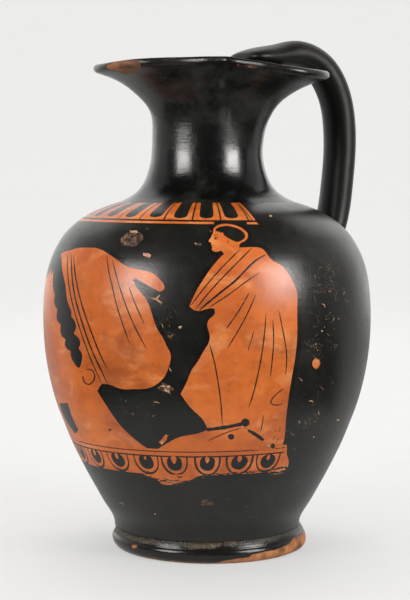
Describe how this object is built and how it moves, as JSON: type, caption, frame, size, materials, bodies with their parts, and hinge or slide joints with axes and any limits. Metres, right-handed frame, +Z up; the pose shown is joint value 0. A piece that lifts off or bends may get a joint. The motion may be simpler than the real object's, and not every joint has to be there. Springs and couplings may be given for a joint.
{
  "type": "trefoil-mouthed jug",
  "caption": "Fired-clay jug with ring foot, full belly, narrow neck, flared three-lobed rim and a high strap handle, in black gloss with a reserved clay figure panel; for pouring wine.",
  "frame": {"origin": "the middle of the foot's resting face", "axes": "+Z up along the jug's axis, -Y towards the pouring lobe, +Y towards the handle, +X to the right of a person who faces the pouring lobe"},
  "size_m": [0.1536, 0.1567, 0.2388],
  "materials": {
    "foot_gloss": "black gloss, rubbed at the edge",
    "body_gloss": "black gloss with reserved orange clay figures and ornament bands",
    "neck_gloss": "black gloss, worn to the clay at the lip",
    "handle_gloss": "black gloss",
    "joint_slip": "fired clay slip"
  },
  "bodies": {
    "root": {"foot": "foot_gloss", "foot_slip": "joint_slip", "body": "body_gloss", "neck_slip": "joint_slip", "neck": "neck_gloss", "handle": "handle_gloss", "handle_rim_slip": "joint_slip", "handle_shoulder_slip": "joint_slip"}
  },
  "joints": []
}
